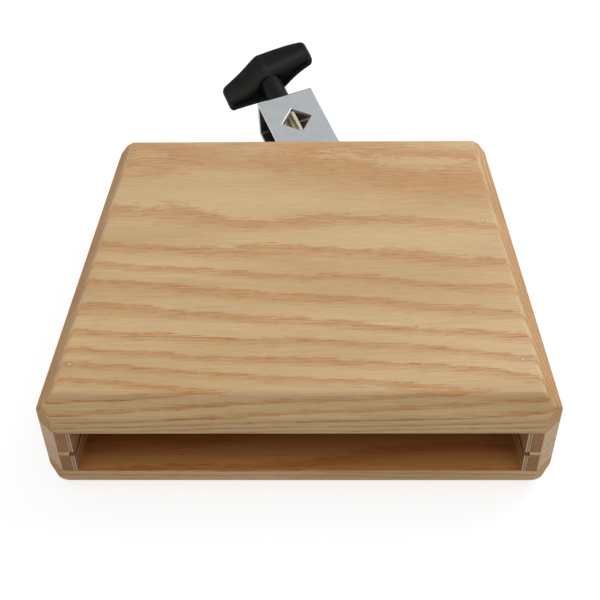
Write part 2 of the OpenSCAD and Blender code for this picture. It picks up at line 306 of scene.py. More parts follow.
# %% Ash
BENDS, TEARS, STREAKS = (70, 30, 26), (9, 1.3, 1.3), (20, 0.5, 0.5)
PORES, FIBRES, CLOUDS = (6, 0.28, 0.28), (26, 0.28, 0.28), (90, 26, 26)
EARLY_STARTS, EARLY_FADES = (0.0, 0.05), (0.10, 0.60)
STREAKS_BREAK, LEAST_BAND = (0.36, 0.60), 0.28
PORES_OPEN, PORES_IN_BANDS, PORES_EVERYWHERE = (0.55, 0.68), 0.75, 0.24
BEND_MM, TEAR_MM = 2.6, 1.3
BAND_STRENGTH, PORE_STRENGTH = 0.90, 0.80
FULL_END = 0.45
LACQUER, END_DULL, PORE_DULL = 0.46, 0.45, 0.2
GRAIN_RELIEF = 0.06


def ash(name, along, ring, heart, spread, lean=0.0, seed=0.0, pale=(197, 166, 121),
        band=(181, 126, 68), pore=(136, 90, 52), end=(0.88, 0.75, 0.62), end_from=0.4, wander=1.0,
        marks=()):
    """Ash with its grain along "X" or "Y". ring is a ring's width, and heart the place (across the
    grain, up) above the tree's middle. spread is the tree's radius there, and lean turns the rings
    across the grain. A sawn end takes the colour times end, from where a face meets the grain as
    squarely as end_from. wander scales how far rings stray. marks are functions that change the
    colour: marks in the wood, and the painted shade in the chamber."""
    material, tree, shader = new_finish(name)
    apart = put(tree, "SeparateXYZ", {0: millimetres(tree)}).outputs
    grain, across = (apart[0], apart[1]) if along == "X" else (apart[1], apart[0])
    up = apart[2]
    wood = put(tree, "CombineXYZ", {0: grain, 1: across, 2: up}).outputs[0]

    slow = calc(tree, "SUBTRACT", noise(tree, wood, BENDS, 1.5, 0.5, seed + 1), 0.5)
    torn = calc(tree, "SUBTRACT", noise(tree, wood, TEARS, 3.0, 0.7, seed + 2), 0.5)
    side = calc(tree, "MULTIPLY_ADD", grain, lean, calc(tree, "SUBTRACT", across, heart[0]))
    sag = calc(tree, "DIVIDE", calc(tree, "MULTIPLY", side, side), 2 * spread)
    depth = calc(tree, "ADD", calc(tree, "SUBTRACT", up, heart[1]), sag)
    depth = calc(tree, "MULTIPLY_ADD", slow, BEND_MM * wander, depth)
    depth = calc(tree, "MULTIPLY_ADD", torn, TEAR_MM * wander, depth)
    phase = calc(tree, "FRACT", calc(tree, "DIVIDE", depth, ring))

    early = overlap(tree, rising(tree, phase, *EARLY_STARTS), falling(tree, phase, *EARLY_FADES))
    streak = noise(tree, wood, STREAKS, 4.0, 0.7, seed + 3)
    broken = rising(tree, streak, *STREAKS_BREAK)
    left = calc(tree, "MULTIPLY_ADD", broken, 1 - LEAST_BAND, LEAST_BAND)
    early = calc(tree, "MULTIPLY", early, left)
    open_pores = rising(tree, noise(tree, wood, PORES, 2.0, 0.5, seed + 4), *PORES_OPEN)
    pore_share = calc(tree, "MULTIPLY_ADD", early, PORES_IN_BANDS, PORES_EVERYWHERE)
    pores = calc(tree, "MULTIPLY", open_pores, pore_share, clamp=True)
    fibre = noise(tree, wood, FIBRES, 3.0, 0.8, seed + 5)
    cloud = noise(tree, wood, CLOUDS, 2.0, 0.5, seed + 6)

    light = scaled(tint(*pale), 1.06)
    deep = scaled(tint(*pale), (0.92, 0.86, 0.78))
    colour = blend(tree, rising(tree, cloud, 0.32, 0.68), light, deep)
    colour = blend(tree, calc(tree, "MULTIPLY", early, BAND_STRENGTH), colour, tint(*band))
    colour = blend(tree, calc(tree, "MULTIPLY", pores, PORE_STRENGTH), colour, tint(*pore))
    colour = shaded(tree, colour, fibre, 0.80, 1.17)

    squareness = facing(tree)[0 if along == "X" else 1]
    cut = rising(tree, squareness, end_from, min(end_from + FULL_END, 0.97))
    end_colour = blend(tree, 1.0, colour, (*end, 1.0), mode="MULTIPLY")
    colour = blend(tree, cut, colour, end_colour)
    for mark in marks:
        colour = mark(tree, apart, colour)
    tree.links.new(colour, shader.inputs["Base Color"])
    dull = calc(tree, "MULTIPLY_ADD", cut, END_DULL, LACQUER)
    dull = calc(tree, "MULTIPLY_ADD", pores, PORE_DULL, dull, clamp=True)
    tree.links.new(dull, shader.inputs["Roughness"])
    shader.inputs["Specular IOR Level"].default_value = 0.35
    shader.inputs["Coat Weight"].default_value = 0.08
    shader.inputs["Coat Roughness"].default_value = 0.3
    height = calc(tree, "SUBTRACT", calc(tree, "MULTIPLY", fibre, 0.35), pores)
    bump(tree, shader, height, GRAIN_RELIEF, 0.7)
    return material


face_ash = ash("ash_top_plate", "X", ring=2.1, heart=(66.6, 38.5), spread=622, lean=0.11,
               marks=(glue_lines, filled_pins, chamber_shade_and_specks))
floor_ash = ash("ash_bottom_plate", "X", ring=2.2, heart=(-20, 5.0), spread=420, lean=-0.08, seed=5,
                marks=(glue_lines, chamber_shade_and_specks))
print("ash finishes:", face_ash.name, floor_ash.name)

# %% [markdown]
# ## Rails and strips
#
# The side rails run from front to back, so their grain does too, and the mouth shows their brown
# end grain. Each rail is sawn from another place in the board, so each gets its own seed.
# The thin strip between the rails is of paler wood, which shows at its sawn end only. The rails'
# corner bevels are cut at 45 degrees to the grain and look like their sides, so here a face counts
# as an end only when it meets the grain more squarely than that.

# %% Rail and strip finishes
SIDE_RAILS = ["upper_left_rail", "lower_left_rail", "upper_right_rail", "lower_right_rail"]
REAR_RAILS = ["upper_rear_rail", "lower_rear_rail"]
PAST_BEVEL = 0.78
BROWN_END, PALE_END = (0.65, 0.54, 0.50), (1.22, 1.26, 1.22)
rail_tan = dict(pale=(197, 163, 120), band=(168, 122, 78), pore=(128, 88, 52), end_from=PAST_BEVEL,
                marks=(glue_lines,))
rail_ash = {}
for count, name in enumerate(SIDE_RAILS):
    rail_ash[name] = ash("ash_" + name, "Y", ring=1.3, heart=(20 - 14 * count, 3.0), spread=160,
                         seed=11 + count, end=BROWN_END, wander=0.5, **rail_tan)
for count, name in enumerate(REAR_RAILS):
    rail_ash[name] = ash("ash_" + name, "X", ring=1.6, heart=(60, 3.0), spread=120,
                         seed=17 + count, **rail_tan)
strip_ash = ash("ash_strips", "Y", ring=1.8, heart=(0, 0), spread=200, seed=23,
                pale=(200, 167, 124), band=(182, 142, 98), end=PALE_END,
                end_from=PAST_BEVEL, wander=0.5, marks=(glue_lines,))
print("rail finishes:", len(rail_ash))

# %% [markdown]
# ## Plywood liners
#
# Thin birch plywood lines the rails. Its faces show plain veneer, and its edges show the plies,
# with a dark glue line on either side. The finish measures how deep a point lies in the sheet, and
# shows the plies only where the surface faces along the sheet.

# %% Plywood
PLIES = [(0.0, tint(66, 44, 26)), (0.16, tint(206, 176, 134)), (0.36, tint(108, 76, 48)),
         (0.44, tint(176, 138, 100)), (0.64, tint(108, 76, 48)), (0.72, tint(204, 174, 132)),
         (0.88, tint(58, 38, 24))]
FIBRE_THIN, FIBRE_LONG = 0.4, 30
VENEER_PALE, VENEER_DARK = tint(188, 146, 100), tint(164, 120, 78)


def plywood(name, axis, node):
    """Plywood whose thickness is along axis 0 or 1, in the sheet that node's box gives."""
    material, tree, shader = new_finish(name)
    place = millimetres(tree)
    apart = put(tree, "SeparateXYZ", {0: place}).outputs
    low, high = (abs(corner[axis]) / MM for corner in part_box(node))
    depth = calc(tree, "SUBTRACT", calc(tree, "ABSOLUTE", apart[axis]), min(low, high))
    plies = put(tree, "ValToRGB", {0: calc(tree, "DIVIDE", depth, abs(high - low))})
    ramp = plies.color_ramp
    ramp.interpolation = "CONSTANT"
    while len(ramp.elements) < len(PLIES):
        ramp.elements.new(0.5)
    for element, (position, colour) in zip(ramp.elements, PLIES):
        element.position = position
        element.color = colour
    fibre_size = [FIBRE_THIN] * 3
    fibre_size[1 - axis] = FIBRE_LONG
    fibre = noise(tree, place, fibre_size, 3.0, 0.6, 31)
    patches = noise(tree, place, [4 * size for size in fibre_size], 2.0, 0.5, 32)
    veneer = blend(tree, rising(tree, patches, 0.3, 0.7), VENEER_PALE, VENEER_DARK)
    on_face = rising(tree, facing(tree)[axis], 0.4, 0.7)
    colour = blend(tree, on_face, plies.outputs[0], veneer)
    tree.links.new(shaded(tree, colour, fibre, 0.86, 1.08), shader.inputs["Base Color"])
    shader.inputs["Roughness"].default_value = 0.6
    shader.inputs["Specular IOR Level"].default_value = 0.3
    bump(tree, shader, fibre, 0.04, 0.6)
    return material


side_ply = plywood("birch_plywood_sides", 0, "upper_right_liner")
rear_ply = plywood("birch_plywood_rear", 1, "upper_rear_liner")
print("plywood finishes:", side_ply.name, rear_ply.name)

# %% [markdown]
# ## The clamp's frame
#
# The clamp stands askew behind the block, so its finishes and its finer pieces are given in a
# frame of its own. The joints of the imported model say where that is: its Y axis runs along the
# clamp screw, its Z axis is the pivot, and its origin lies on both. Typing the angles in again
# would work too, but then they could drift apart from the model's. The sizes below the axes are
# the strap's height, thickness and reach, the place and half width of its square hole, and the
# place along the screw where the knob starts.

# %% The clamp's frame
pivot_axis = Vector(joints["clamp_swivel"]["axis"]).normalized()
screw_axis = Vector(joints["wing_turn"]["axis"]).normalized()
pivot_place = Vector(joints["clamp_swivel"]["pos_m"])
side_axis = screw_axis.cross(pivot_axis)
clamp_frame = Matrix((side_axis, screw_axis, pivot_axis)).transposed().to_4x4()
clamp_frame.translation = pivot_place
STRAP_H, STRAP_T, STRAP_END = 24.0, 2.3, 37.4
HOLE_OUT = 18.5
HOLE_HALF = 10.7 / math.sqrt(2)
KNOB_AT = 41.1


def out_from_pivot(tree, place, axis):
    """How far a place lies from the pivot, in millimetres along one of the clamp's axes."""
    feeds = {0: place, 1: tuple(pivot_place / MM)}
    away = put(tree, "VectorMath", feeds, operation="SUBTRACT").outputs[0]
    feeds = {0: away, 1: tuple(axis)}
    return put(tree, "VectorMath", feeds, operation="DOT_PRODUCT").outputs["Value"]


def in_clamp_frame(tree, place):
    """A place's three distances from the pivot: to the side, along the screw and up the pivot."""
    return [out_from_pivot(tree, place, axis) for axis in (side_axis, screw_axis, pivot_axis)]


print("clamp screw axis:", [round(v, 4) for v in screw_axis])

# %% [markdown]
# ## Metals
#
# The strap and the bright rings are chromed steel, the lug and the screws are zinc plated. Metal
# has no colour of its own under the light, only what it mirrors, so its base colour is how much it
# gives back. Plating is never quite even: slow noise moves the roughness, and very fine lines
# from polishing break up the reflection. Plating hardly reaches into a bent strap or a punched
# hole, so the strap's inner faces are duller and darker.

# %% Metals
SKIN_FROM, SKIN_TO = 0.02, 0.2
THIN_PLATING = tint(112, 108, 102)
THIN_DULL = 0.16
TURNED_LINES = (0.3, 0.3, 0.3)


def inside_the_strap(tree, place):
    """1 on the strap's inner faces and in its square holes, where plating is thin, and 0 outside."""
    side, along, up = in_clamp_frame(tree, place)
    leg, end = STRAP_H / 2 - STRAP_T, STRAP_END - STRAP_T
    between_legs = falling(tree, calc(tree, "ABSOLUTE", up), leg + SKIN_FROM, leg + SKIN_TO)
    before_end = falling(tree, along, end + SKIN_FROM, end + SKIN_TO)
    reach = calc(tree, "ADD", calc(tree, "ABSOLUTE", side), distance(tree, along, HOLE_OUT))
    in_hole = falling(tree, reach, HOLE_HALF + SKIN_FROM, HOLE_HALF + SKIN_TO)
    return calc(tree, "MAXIMUM", overlap(tree, between_legs, before_end), in_hole)


def metal(name, colour, roughness, lines=(0.2, 9, 0.2), unevenness=0.08, relief=0.003, patina=0.06,
          dull_inside=False):
    """A plated metal. lines gives the size of the polishing marks in millimetres and relief their
    depth. unevenness is how far the roughness strays, and patina how much darker the patches are."""
    material, tree, shader = new_finish(name)
    place = millimetres(tree)
    marks = noise(tree, place, lines, 2.0, 0.6, 41)
    patches = noise(tree, place, (9, 9, 9), 3.0, 0.6, 42)
    shown = blend(tree, rising(tree, patches, 0.35, 0.7), colour, scaled(colour, 1 - patina))
    dull = calc(tree, "MULTIPLY_ADD", patches, unevenness, roughness - unevenness / 2)
    if dull_inside:
        thin = inside_the_strap(tree, place)
        shown = blend(tree, thin, shown, THIN_PLATING)
        dull = calc(tree, "MULTIPLY_ADD", thin, THIN_DULL, dull)
    tree.links.new(shown, shader.inputs["Base Color"])
    tree.links.new(dull, shader.inputs["Roughness"])
    shader.inputs["Metallic"].default_value = 1.0
    bump(tree, shader, marks, relief, 0.5)
    return material


strap_chrome = metal("chrome_strap", tint(177, 180, 183), 0.18, dull_inside=True)
ring_chrome = metal("chrome_rings", tint(196, 198, 202), 0.14, lines=TURNED_LINES)
zinc_lug = metal("zinc_lug", tint(170, 173, 176), 0.36, relief=0.01, patina=0.14)
zinc_screws = metal("zinc_fasteners", tint(176, 178, 180), 0.28, lines=TURNED_LINES, patina=0.12)
zinc_thread = metal("zinc_thread", tint(206, 198, 172), 0.22, lines=TURNED_LINES, patina=0.22)
metals = (strap_chrome, ring_chrome, zinc_lug, zinc_screws, zinc_thread)
print("metal finishes:", [finish.name for finish in metals])

# %% [markdown]
# ## Plastics
#
# The wing knob is moulded in black plastic with a satin skin: fine even graining that catches the
# light softly. A painted highlight makes the ridge along its wings a little lighter, and painted
# shade keeps the narrow groove round its hub dark. The two washers at the pivot are plain nylon.

# %% Plastics
RIDGE_STARTS, RIDGE_ENDS = (KNOB_AT + 14, KNOB_AT + 18), (KNOB_AT + 19, KNOB_AT + 25)
GROOVE_INSIDE, GROOVE_OUTSIDE = (5.55, 5.9), (6.5, 7.2)
GROOVE_UP_TO = (KNOB_AT + 15.1, KNOB_AT + 15.9)
# How much lighter the painted highlight on the ridge is, and how dark the painted shade in the groove.
HIGHLIGHT_LIGHTER, GROOVE_SHADE_DARKER = 1.6, 0.1


def ridge_highlight(tree, place):
    """Where the painted highlight lies: 1 along the ridge of the knob's wings, and 0 above and below
    it.
    """
    along = out_from_pivot(tree, place, screw_axis)
    return overlap(tree, rising(tree, along, *RIDGE_STARTS), falling(tree, along, *RIDGE_ENDS))


def hub_groove_shade(tree, place):
    """Where painted shade lies: 1 in the narrow groove round the knob's hub, where little light
    gets in, and 0 outside it.
    """
    side, along, up = in_clamp_frame(tree, place)
    radius = radius_of(tree, side, up)
    ring = overlap(tree, rising(tree, radius, *GROOVE_INSIDE), falling(tree, radius, *GROOVE_OUTSIDE))
    return overlap(tree, ring, falling(tree, along, *GROOVE_UP_TO))


def plastic(name, colour, worn, roughness, grain_mm, relief, gloss, painted_highlight=None, groove_shade=None):
    """A moulded plastic whose graining is grain_mm wide, with handled patches of the worn colour.
    gloss is how strongly it mirrors. The last two are functions that give where a painted
    highlight makes it lighter and where painted shade makes it dark in a groove."""
    material, tree, shader = new_finish(name)
    place = millimetres(tree)
    graining = noise(tree, place, (grain_mm,) * 3, 2.0, 0.5, 51)
    handled = rising(tree, noise(tree, place, (7, 7, 7), 2.0, 0.5, 52), 0.42, 0.7)
    shown = blend(tree, handled, colour, worn)
    if painted_highlight:
        # A painted highlight along the ridge of the wings.
        shown = blend(tree, painted_highlight(tree, place), shown, scaled(worn, HIGHLIGHT_LIGHTER))
    if groove_shade:
        # Painted shade in the groove round the hub.
        shown = blend(tree, groove_shade(tree, place), shown, scaled(colour, GROOVE_SHADE_DARKER))
    tree.links.new(shown, shader.inputs["Base Color"])
    dull = calc(tree, "MULTIPLY_ADD", handled, -0.06, roughness)
    tree.links.new(dull, shader.inputs["Roughness"])
    shader.inputs["Specular IOR Level"].default_value = gloss
    bump(tree, shader, graining, relief, 0.5)
    return material


knob_black = plastic("black_satin_plastic", tint(27, 28, 26), tint(31, 31, 29), roughness=0.42,
                     grain_mm=0.35, relief=0.008, gloss=0.06, painted_highlight=ridge_highlight,
                     groove_shade=hub_groove_shade)
nylon = plastic("nylon_washers", tint(214, 212, 200), tint(202, 198, 184), roughness=0.5,
                grain_mm=0.3, relief=0.01, gloss=0.4)
print("plastic finishes:", knob_black.name, nylon.name)

# %% [markdown]
# ## Dressing the solids
#
# The solids keep their shape and take a finish each. A sawn or stamped edge is never perfectly
# sharp, and a sharp edge catches no light, so a bevel modifier breaks each edge a little. The
# imported meshes come in triangles, with separate corners for every face. The weld modifier first
# joins the corners, and the decimate modifier joins the triangles of each flat face into one, so
# that the bevel finds the real edges and no others.
#
# The plates are sanded rounder on the outside than where they meet the rails. A vertex group names
# the corners away from the joint, and a wider bevel works on those edges before the finer one.

# %% Dress the solids
SAME_CORNER = 1e-6
FLAT_WITHIN, EDGE_FROM = math.radians(1), math.radians(28)
SANDING_STEPS = 4


def dress(node, finish, ease_mm, steps=2):
    """Give a solid its finish, and break its edges by ease_mm."""
    piece = nodes[node]
    piece.data.materials.clear()
    piece.data.materials.append(finish)
    weld = piece.modifiers.new("join_corners", "WELD")
    weld.merge_threshold = SAME_CORNER
    faces = piece.modifiers.new("join_faces", "DECIMATE")
    faces.decimate_type = "DISSOLVE"
    faces.angle_limit = FLAT_WITHIN
    ease = piece.modifiers.new("break_edges", "BEVEL")
    ease.width = ease_mm * MM
    ease.segments = steps
    ease.limit_method = "ANGLE"
    ease.angle_limit = EDGE_FROM
    ease.harden_normals = True
    ease.use_clamp_overlap = False


def sand_outside(node, joint_height, round_mm):
    """Round a dressed plate's outer edges by round_mm, but not those at its joint with the rails."""
    piece = nodes[node]
    outside = [v.index for v in piece.data.vertices if abs(v.co.z / MM - joint_height) > 0.1]
    piece.vertex_groups.new(name="outside").add(outside, 1.0, "REPLACE")
    sand = piece.modifiers.new("sand_edges", "BEVEL")
    sand.width = round_mm * MM
    sand.segments = SANDING_STEPS
    sand.limit_method = "VGROUP"
    sand.vertex_group = "outside"
    sand.harden_normals = True
    for place, name in enumerate(("join_corners", "join_faces", "sand_edges", "break_edges")):
        piece.modifiers.move(piece.modifiers.find(name), place)


dress("top_plate", face_ash, 0.15)
sand_outside("top_plate", GLUE_HEIGHTS[2], 1.2)
dress("bottom_plate", floor_ash, 0.15)
sand_outside("bottom_plate", GLUE_HEIGHTS[0], 2.0)
for name, finish in rail_ash.items():
    dress(name, finish, 0.12)
for name in nodes:
    if name.endswith("_strip"):
        dress(name, strip_ash, 0.1)
    elif name.endswith("_liner"):
        dress(name, rear_ply if "rear" in name else side_ply, 0.06, 1)
    elif name.endswith("_pivot_washer"):
        dress(name, nylon, 0.1)
dress("swivel_lug", zinc_lug, 0.25)
dress("clamp_strap", strap_chrome, 0.5, 3)
dress("pivot_bolt", zinc_screws, 0.2)
dress("pivot_lock_nut", zinc_screws, 0.25)
dress("threaded_bush", ring_chrome, 0.3, 3)
dress("captive_washer", ring_chrome, 0.25, 3)
print("solids dressed:", sum(1 for piece in nodes.values() if piece.modifiers), "of", len(nodes))

# %% [markdown]
# ## Pieces made as skins
#
# The thread, the screw heads and the knob are all made in one way: a row of closed rings of points
# is laid along an axis, and a skin is drawn over them. Only the rings differ. A screw's rings are
# circles whose radius rises and falls with the thread, and the knob's are cuts across its wings.

# %% Skins
def skin(name, rings):
    """A closed mesh over rings of points, in millimetres, with a flat cap at each end."""
    count = len(rings[0])
    points = [tuple(c * MM for c in point) for ring in rings for point in ring]
    faces = [tuple(reversed(range(count))), tuple(range((len(rings) - 1) * count, len(rings) * count))]
    for row in range(len(rings) - 1):
        here, above = row * count, (row + 1) * count
        for k in range(count):
            after = (k + 1) % count
            faces.append((here + k, here + after, above + after, above + k))
    mesh = bpy.data.meshes.new(name)
    mesh.from_pydata(points, [], faces)
    sheet = bmesh.new()
    sheet.from_mesh(mesh)
    bmesh.ops.recalc_face_normals(sheet, faces=sheet.faces)
    sheet.to_mesh(mesh)
    sheet.free()
    piece = bpy.data.objects.new(name, mesh)
    bpy.context.scene.collection.objects.link(piece)
    return piece


def circle(radius, along, around, off=0):
    """A ring of points round the Y axis, or round a line that lies off it along Z."""
    angles = [math.tau * k / around for k in range(around)]
    return [(radius * math.sin(angle), along, radius * math.cos(angle) + off) for angle in angles]


def turned(name, outline, around=64):
    """A turned piece: outline gives (radius, place along Y) from one end to the other, and a shift
    along Z where a part of it stands off the axis."""
    return skin(name, [circle(radius, along, around, *shift) for radius, along, *shift in outline])


def hand_over(piece, finish, body, stands_for):
    """Give a new piece its finish and its body, and hide the solid that it stands for."""
    piece.data.transform(piece.matrix_world)
    piece.matrix_world = Matrix.Identity(4)
    piece.data.materials.append(finish)
    piece.data.shade_smooth()
    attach(piece, body)
    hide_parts(stands_for)


print("a skin's ring of four points:", [tuple(round(c, 2) for c in point) for point in circle(1, 0, 4)])

# %% [markdown]
# ## The clamp screw's thread
#
# An M8 thread climbs 1.25 mm at each turn. Real threads are rolled: the ridge is a 60 degree tooth
# with a narrow flat on top. For each point around and along the screw, the function below works
# out where it stands in a tooth, and so how deep the surface lies. Each ring of the skin follows
# that depth, and the ridge winds to the right as it should. Behind the thread the screw is plain.

# %% Thread
THREAD_R, THREAD_DEPTH, THREAD_RISE = 3.98, 0.72, 1.25
TOOTH_FLAT, TOOTH_FLANK = 0.14, 0.66
TIP_CONE = 1.2
TIP_AT, THREAD_END, SCREW_END = 15.5, 42.0, 59.05
PLAIN_SHARE, PLAIN_STEP = 0.97, 0.4
AROUND, STEPS_PER_RISE = 40, 10


def thread_radius(along, angle):
    """The radius of the threaded surface at a place along the screw and an angle around it."""
    place = (along / THREAD_RISE - angle / math.tau) % 1.0
    flank = min(1.0, max(0.0, (abs(2 * place - 1) - TOOTH_FLAT) / TOOTH_FLANK))
    cone = THREAD_R - TIP_CONE + max(0.0, along - TIP_AT)
    return min(THREAD_R - THREAD_DEPTH * flank, cone)


def thread_ring(along):
    """The outline of the threaded screw across one place along it."""
    ring = []
    for angle in (math.tau * k / AROUND for k in range(AROUND)):
        radius = thread_radius(along, angle)
        ring.append((radius * math.sin(angle), along, radius * math.cos(angle)))
    return ring


levels = int((THREAD_END - TIP_AT) / THREAD_RISE * STEPS_PER_RISE) + 1
rings = [thread_ring(TIP_AT + level * THREAD_RISE / STEPS_PER_RISE) for level in range(levels)]
for along in (THREAD_END + PLAIN_STEP, SCREW_END):
    rings.append(circle(THREAD_R * PLAIN_SHARE, along, AROUND))
thread = skin("rolled_thread", rings)
thread.matrix_world = clamp_frame
hand_over(thread, zinc_thread, "wing_screw", "clamp_screw")
print("thread turns:", round((THREAD_END - TIP_AT) / THREAD_RISE, 1))

# %% [markdown]
# ## The wood screws
#
# Four pan-head screws hold the lug. Each has a domed head with a cross recess for the driver. The
# head is a turned form, and the cross is pressed into it by lowering the points of the skin that
# lie within two crossed slots. Screws never stop at the same angle, so each head gets its own.
# The four are then joined into one mesh, as they are one node of the model.

# %% Wood screws
HEAD_R, HEAD_H, SHANK_R, SHANK_L = 3.3, 2.2, 1.7, 14.4
HEAD_SEAT, HEAD_SIDE = 0.02, 0.75
DOME_STEPS, DOME_POWER = 25, 2.4
CROSS_DEPTH, CROSS_REACH, CROSS_HALF = 1.3, (1.3, 2.0), (0.34, 0.56)
HEAD_AROUND = 72
WALL_Y, LUG_T = 89.5, 2.5
SCREW_PLACES = [(-14.0, 22.3, 0.3), (22.0, 22.3, 1.1), (-14.0, 13.9, 0.75), (22.0, 13.9, 0.05)]


def soft_step(value, low, high):
    """0 below low, 1 above high, and smooth in between."""
    share = min(1.0, max(0.0, (value - low) / (high - low)))
    return share * share * (3 - 2 * share)


def recess_depth(x, z):
    """How deep the cross recess lies at a place on the head."""
    reach = 1 - soft_step(math.hypot(x, z), *CROSS_REACH)
    slot_x = 1 - soft_step(abs(x), *CROSS_HALF)
    slot_z = 1 - soft_step(abs(z), *CROSS_HALF)
    return CROSS_DEPTH * reach * max(slot_x, slot_z)


def fill_mesh(mesh, parts):
    """Give a mesh the faces of several others together."""
    sheet = bmesh.new()
    for part in parts:
        sheet.from_mesh(part)
    sheet.to_mesh(mesh)
    sheet.free()


outline = [(0.3, -SHANK_L), (SHANK_R * 0.8, 2 - SHANK_L), (SHANK_R, 3.5 - SHANK_L),
           (SHANK_R, HEAD_SEAT), (HEAD_R - 0.12, HEAD_SEAT), (HEAD_R, 0.15), (HEAD_R, HEAD_SIDE)]
for step in range(1, DOME_STEPS):
    share = 1 - step / DOME_STEPS
    outline.append((HEAD_R * share, HEAD_SIDE + (HEAD_H - HEAD_SIDE) * (1 - share ** DOME_POWER)))
heads = []
for number, (x, z, turned_by) in enumerate(SCREW_PLACES):
    screw = turned("wood_screw_%d" % number, outline, HEAD_AROUND)
    for vertex in screw.data.vertices:
        if vertex.co.y > 0.5 * MM:
            vertex.co.y -= recess_depth(vertex.co.x / MM, vertex.co.z / MM) * MM
    place = Matrix.Translation(Vector((x, WALL_Y + LUG_T, z)) * MM)
    screw.data.transform(place @ Matrix.Rotation(turned_by, 4, "Y"))
    heads.append(screw)

screw_set = heads[0]
screw_set.name = "wood_screws"
fill_mesh(screw_set.data, [screw.data for screw in heads])
for screw in heads[1:]:
    bpy.data.objects.remove(screw)
hand_over(screw_set, zinc_screws, "block", "lug_screws")
print("wood screws:", len(SCREW_PLACES))

# %% [markdown]
# ## The wing knob
#
# The knob is one moulding: a thick middle, two wings whose faces hollow out on opposite sides for
# the fingers, and an underside cored out to save plastic. It could be carved by hand in sculpt
# mode, but its form is regular, so it is made from cuts across the wings: each cut is a polygon
# with rounded corners, and the skin joins them.
#
# A cut runs from the crest down a face to the ridge, from there to the rim, and back through the
# core. Seen from the mouth, the rim of the near face rises in an arch over the hub, and the far
# face reaches lower. Each wing has its own line for both rims.

# %% Knob's cuts
KNOB_TURN = math.radians(14)
WING_HALF, TIP_ROUND = 24.9, 2.4
CREST_A, CREST_DROP = 33.2, 5.2
CREST_SOFT, CREST_SHARE = 3.4, 0.48
FACE_OUT, FACE_DIP, DIP_SPREAD = 6.5, 0.7, 40
HOLLOW_END, HOLLOW_POWER, HOLLOW_SOFT = 0.1, 2.4, 3
NEAR_RIM = ((12.5, 0.11), (13.6, 0.11))
FAR_RIM = ((8.9, 0.21), (11.6, 0.14))
WINGS_MEET = (-5, 5)
ARCH_RISE, ARCH_HALF = 1.6, 6.0
RIDGE_A, DIP_A = 17.8, 22.6
CREST_IN, DIP_IN, RIM_IN = 0.4, 1.2, 1.5
SHAPING_STARTS, SHAPING_ENDS = (-2, 3), (0, 3)
CORE_WALL, WALL_SHARE = 1.6, 0.3
CORE_DEPTH, LEAST_DEPTH, CORE_CLOSES, CORE_TAPER = 1.8, 0.05, (2.0, 4.5), 0.3
CURVE_SHARE = 0.46
CUTS_PER_WING = 40


def outer_face(x):
    """Thickness from the middle plane on the side that a wing shows to the pushing finger."""
    return FACE_OUT - FACE_DIP * x * x / (x * x + DIP_SPREAD)


def hollow_face(x):
    """Thickness on the side where a wing hollows out."""
    way = math.sqrt(x * x + HOLLOW_SOFT ** 2) - HOLLOW_SOFT
    whole_way = math.sqrt(WING_HALF ** 2 + HOLLOW_SOFT ** 2) - HOLLOW_SOFT
    return HOLLOW_END + (FACE_OUT - HOLLOW_END) * max(0.0, 1 - way / whole_way) ** HOLLOW_POWER


def rim_height(x, sides):
    """How far up the screw a face ends at its lower rim, from a line for each wing."""
    left, right = (start + rise * abs(x) for start, rise in sides)
    return left + (right - left) * soft_step(x, *WINGS_MEET)


def rounded(corners, steps=5):
    """A closed outline from pairs of corner and radius, whose corners are drawn as short curves. No
    curve takes more than CURVE_SHARE of a side."""
    places = [Vector(place) for place, _ in corners]
    points = []
    for i, (corner, (_, radius)) in enumerate(zip(places, corners)):
        before = places[i - 1] - corner
        after = places[(i + 1) % len(places)] - corner
        start = corner + before.normalized() * min(radius, CURVE_SHARE * before.length)
        end = corner + after.normalized() * min(radius, CURVE_SHARE * after.length)
        for k in range(steps + 1):
            t = k / steps
            points.append((1 - t) ** 2 * start + 2 * t * (1 - t) * corner + t * t * end)
    return points


def knob_cut(x):
    """The outline across the wings at x: points along the screw and across the knob's thickness."""
    from_tip = WING_HALF - abs(x)
    inset = 0.0
    if from_tip < TIP_ROUND:
        inset = TIP_ROUND - math.sqrt(max(0.0, TIP_ROUND ** 2 - (TIP_ROUND - from_tip) ** 2))
    high, low = (outer_face(x), -hollow_face(x)) if x > 0 else (hollow_face(x), -outer_face(x))
    high -= inset
    low += inset
    crest = CREST_A - CREST_DROP * (x / WING_HALF) ** 2 - inset
    near = rim_height(x, NEAR_RIM) + ARCH_RISE * math.exp(-(x / ARCH_HALF) ** 2) + inset
    far = rim_height(x, FAR_RIM) + inset
    wall = min(CORE_WALL, WALL_SHARE * (high - low))
    core = max(near, far) + CORE_DEPTH * soft_step(from_tip, *CORE_CLOSES) + LEAST_DEPTH
    shape_high = soft_step(x, *SHAPING_STARTS) * soft_step(from_tip, *SHAPING_ENDS)
    shape_low = soft_step(-x, *SHAPING_STARTS) * soft_step(from_tip, *SHAPING_ENDS)
    rim_high, rim_low = high - RIM_IN * shape_high, low + RIM_IN * shape_low
    soft = min(CREST_SOFT, CREST_SHARE * (high - low))
    return rounded([
        ((crest, low + CREST_IN * shape_low), soft),
        ((crest, high - CREST_IN * shape_high), soft),
        ((DIP_A, high - DIP_IN * shape_high), 2.4),
        ((RIDGE_A, high), 1.6),
        ((near, rim_high), 0.6),
        ((near, rim_high - wall), 0.4),
        ((core, rim_high - wall - CORE_TAPER), 0.7),
        ((core, rim_low + wall + CORE_TAPER), 0.7),
        ((far, rim_low + wall), 0.4),
        ((far, rim_low), 0.6),
        ((RIDGE_A, low), 1.6),
        ((DIP_A, low + DIP_IN * shape_low), 2.4)])


stations = [WING_HALF * math.sin(math.pi / 2 * k / CUTS_PER_WING)
            for k in range(-CUTS_PER_WING, CUTS_PER_WING + 1)]
wings = skin("wing_knob_moulding", [[(x, *point) for point in knob_cut(x)] for x in stations])
print("cuts across the wings:", len(stations))

